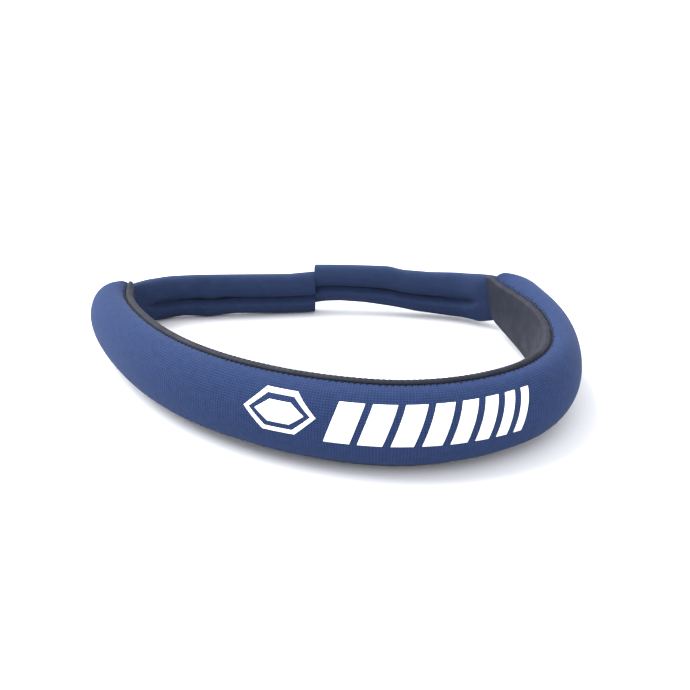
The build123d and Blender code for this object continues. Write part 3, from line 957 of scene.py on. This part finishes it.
class RETAINER_OT_print(bpy.types.Operator):
    """Plain hexagon emblem and slanted bars printed on the front"""

    bl_idname = "retainer.print"
    bl_label = "Print"

    def execute(self, context):
        settings = context.scene.retainer_print
        surface = surface_of(bpy.data.objects["cushion_cover_cloth"])
        material = film_material("white_plastisol_screen_printed", context.scene.retainer_finish.ink)
        lift, pitch = settings.film + FILM_GAP * MM, settings.pitch / MM

        turn = np.arange(EMBLEM_POINTS) / EMBLEM_POINTS * 2 * pi
        border = [hexagon_edge(inset, turn) for inset in np.linspace(0.0, EMBLEM_BORDER, 3)]
        edge = np.array(hexagon_edge(EMBLEM_BORDER + EMBLEM_HOLE, turn))
        middle = edge.mean(axis=1, keepdims=True)
        # the inner hexagon's rings shrink to almost nothing
        solid = [middle + (edge - middle) * share for share in np.linspace(1.0, 0.02, 8)]
        rings = []
        for edges in (border, solid):
            s, height = np.array(edges).transpose(1, 0, 2)
            rings.append((film_patch(surface, s, height, lift), True))
        film_object("hexagon_emblem_film", rings, settings.film, material, "print_emblem")

        bars, start = [], BAR_START
        heights = stations(BAR_TOP, BAR_BOTTOM, pitch)
        for width in np.linspace(BAR_FIRST_WIDTH, BAR_LAST_WIDTH, BAR_COUNT):
            height, along = np.meshgrid(heights, stations(0.0, width, pitch))
            lean = BAR_SLANT * (height - BAR_BOTTOM) / (BAR_TOP - BAR_BOTTOM)
            bars.append((film_patch(surface, start + along + lean, height, lift), False))
            start += width + BAR_SPACE
        film_object("slanted_bars_film", bars, settings.film, material, "print_bars")
        return {"FINISHED"}


# ---- sleeves ----
def oval_turns(columns):
    """Angles that space points evenly round a sleeve's oval."""
    fine = np.linspace(0.0, 2 * pi, 20001)
    x, y = oval(fine, *OVAL_HALVES)
    length = np.concatenate([[0.0], np.cumsum(np.hypot(np.diff(x), np.diff(y)))])
    return np.interp(np.arange(columns) / columns * length[-1], length, fine)


def oval(turn, half_x, half_y):
    """Flat oval with round ends."""
    x, y = (np.sign(at) * np.abs(at) ** (2 / OVAL_POWER) for at in (np.cos(turn), np.sin(turn)))
    return x * half_x, y * half_y


def sleeve_rows(side, distances, turn, settings, inset):
    """Rows of points round a sleeve, or round its channel when there is an inset."""
    d = distances[:, None]
    top, bottom = from_rows(SLEEVE_TOPS[side], d), from_rows(SLEEVE_BOTTOMS[side], d)
    inset = np.broadcast_to(inset, distances.shape)[:, None]
    half_x = from_rows(SLEEVE_HALF_THICKNESS, d) - inset
    half_y = (top - bottom) / 2 - inset
    x, y = oval(turn[None], half_x, half_y)
    depth, width = settings.groove_depth / MM, settings.groove_width / MM
    open_share = np.clip((d - GROOVE_STARTS[side]) / GROOVE_FADE, 0.0, 1.0)
    open_share = open_share**2 * (3 - 2 * open_share)
    facing = np.clip(x / half_x, 0.0, 1.0) ** 2
    groove = depth * np.exp(-(((y + GROOVE_DROP) / width) ** 2))
    lips = sum(rise * np.exp(-(((y - level) / spread) ** 2)) for rise, level, spread in GROOVE_LIPS)
    x = x - facing * open_share * (groove - lips) * np.where(inset > LINING_INSET, LINING_SHARE, 1.0)
    for place_along, sink, width_along in SLEEVE_CREASES[side]:
        dent = sink * np.exp(-(((d - place_along - CREASE_SLOPE * y) / width_along) ** 2))
        x = x - facing * dent
    slanting = np.clip((d - SLANT_START) / (MOUTH - SLANT_START), 0.0, 1.0)
    shorter = MOUTH_SLANTS[side] * (1 - (y + half_y) / (2 * half_y)) * slanting
    shift = from_rows(SLEEVE_SHIFT, d)
    return place(side * (d - shorter), shift + x, (top + bottom) / 2 + y)


class RETAINER_OT_sleeves(bpy.types.Operator):
    """Soft sleeves from inside the cushion's ends to their open mouths"""

    bl_idname = "retainer.sleeves"
    bl_label = "Sleeves"

    def execute(self, context):
        settings, finish = context.scene.retainer_sleeve, context.scene.retainer_finish
        colours = finish.sleeve_shaded_yarn, finish.sleeve_rib_shade
        # painted shade: the sleeves take a darker copy of the cover's jersey
        material = jersey_material("blue_nylon_jersey_shaded_copy", finish, *colours, 0.3)
        turn = oval_turns(settings.columns)
        wall = settings.wall / MM
        rim_turn = np.linspace(0.0, pi, 7)
        for side, name in SIDES.items():
            mouth = MOUTH + MOUTH_REACH[side] - RIM_ROUND
            outer = stations(SLEEVE_START, mouth, settings.pitch / MM)
            rim = mouth + RIM_ROUND * np.sin(rim_turn)
            inner = outer[outer > CHANNEL_START][::-1]
            distances = np.concatenate([outer, rim[1:-1], inner])
            inset = np.concatenate([
                np.zeros(len(outer)), wall / 2 * (1 - np.cos(rim_turn[1:-1])), np.full(len(inner), wall),
            ])
            points = sleeve_rows(side, distances, turn, settings, inset)
            sleeve = grid_object(f"{name}_sleeve_cloth", points, closed=True, cap=True)
            cloth_map(sleeve, points, side * distances, 0)
            paint(sleeve, material)
            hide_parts(f"{name}_sleeve", f"{name}_sleeve_root")
            place(side * CUSHION_HALF, 0.0, 10.0)
            place(side * (CUSHION_HALF + FOLD), 0.0, 10.0)
            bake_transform(sleeve)
        return {"FINISHED"}


class RETAINER_OT_sleeve_seams(bpy.types.Operator):
    """Seam threads at the bottom of the sleeves' grooves"""

    bl_idname = "retainer.sleeve_seams"
    bl_label = "Sleeve seams"

    def execute(self, context):
        settings = context.scene.retainer_sleeve
        colour = context.scene.retainer_finish.sleeve_thread
        material = thread_material("navy_polyester_thread_twisted", colour)
        for side, name in SIDES.items():
            d = stations(CUSHION_HALF + FOLD + 1.0, MOUTH - 3.0, SLEEVE_THREAD_PITCH)
            middle = (from_rows(SLEEVE_TOPS[side], d) + from_rows(SLEEVE_BOTTOMS[side], d)) / 2
            sunk = from_rows(SLEEVE_HALF_THICKNESS, d) - settings.groove_depth / MM + LAYER_GAP
            sway = SLEEVE_THREAD_SWAY * np.sin(d * 2 * pi / SLEEVE_THREAD_WAVE)
            path = place(side * d, sunk, middle - GROOVE_DROP + sway)
            seam = join_tubes(f"{name}_sleeve_seam", [tube(path, SLEEVE_THREAD_RADIUS * MM)])
            paint(seam, material)
            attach(seam, f"{name}_sleeve")
            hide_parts(f"{name}_sleeve_seam_thread")
        return {"FINISHED"}


# ---- stage ----
def soft_sun(name, strength, spread, come_from):
    """Even light from one side; a wide spread, in degrees, gives soft shadows."""
    light = bpy.data.lights.new(name, "SUN")
    light.energy, light.angle = strength, radians(spread)
    new_object(name, light).rotation_euler = Vector(come_from).to_track_quat("Z", "Y").to_euler()


class RETAINER_OT_stage(bpy.types.Operator):
    """White floor, soft light and camera"""

    bl_idname = "retainer.stage"
    bl_label = "Stage"

    def execute(self, context):
        scene, settings = context.scene, context.scene.retainer_stage
        half = settings.floor / 2
        corners = [(-half, -half, 0.0), (half, -half, 0.0), (half, half, 0.0), (-half, half, 0.0)]
        floor = mesh_object("paper_floor", corners, [(0, 1, 2, 3)])
        paint(floor, paper_material("white_background_paper_calendered", scene.retainer_finish.paper))
        world = bpy.data.worlds.new("white_surround")
        world.use_nodes = True
        background = world.node_tree.nodes["Background"].inputs
        background[0].default_value = (1.0, 1.0, 1.0, 1.0)
        background[1].default_value = settings.sky
        scene.world = world
        soft_sun("key_light", settings.key, spread=50.0, come_from=(-0.8, 0.35, 0.95))
        soft_sun("fill_light", settings.fill, spread=80.0, come_from=(0.1, -0.6, 0.8))
        camera = new_object("camera", bpy.data.cameras.new("camera"))
        camera.data.lens = settings.lens
        camera.data.clip_start = 0.01
        camera.location = settings.eye
        camera.rotation_euler = (pi / 2 - settings.pitch, 0.0, 0.0)
        scene.camera = camera
        scene.view_settings.view_transform = "Standard"
        return {"FINISHED"}


# ---- add-on ----
STEPS = (
    RETAINER_OT_cover, RETAINER_OT_core, RETAINER_OT_panel, RETAINER_OT_stitching, RETAINER_OT_print,
    RETAINER_OT_sleeves, RETAINER_OT_sleeve_seams, RETAINER_OT_stage,
)
SETTINGS = {
    "retainer_cushion": CushionSettings,
    "retainer_panel": PanelSettings,
    "retainer_stitch": StitchSettings,
    "retainer_print": PrintSettings,
    "retainer_sleeve": SleeveSettings,
    "retainer_finish": FinishSettings,
    "retainer_stage": StageSettings,
}


class RETAINER_PT_build(bpy.types.Panel):
    """Sizes, colours and steps of the retainer"""

    bl_idname = "RETAINER_PT_build"
    bl_label = "Floating Retainer"
    bl_space_type = "VIEW_3D"
    bl_region_type = "UI"
    bl_category = "Retainer"

    def draw(self, context):
        for step in STEPS:
            self.layout.operator(step.bl_idname)
        for name in SETTINGS:
            group = getattr(context.scene, name)
            box = self.layout.box()
            for field in group.bl_rna.properties.keys():
                if field not in {"rna_type", "name"}:
                    box.prop(group, field)


def register():
    for kind in (*SETTINGS.values(), *STEPS, RETAINER_PT_build):
        bpy.utils.register_class(kind)
    for name, kind in SETTINGS.items():
        setattr(bpy.types.Scene, name, PointerProperty(type=kind))


def unregister():
    for name in SETTINGS:
        delattr(bpy.types.Scene, name)
    for kind in reversed((*SETTINGS.values(), *STEPS, RETAINER_PT_build)):
        bpy.utils.unregister_class(kind)


def main():
    """Builds every piece in order."""
    register()
    for step in STEPS:
        group, name = step.bl_idname.split(".")
        getattr(getattr(bpy.ops, group), name)()


if __name__ == "__main__":
    main()
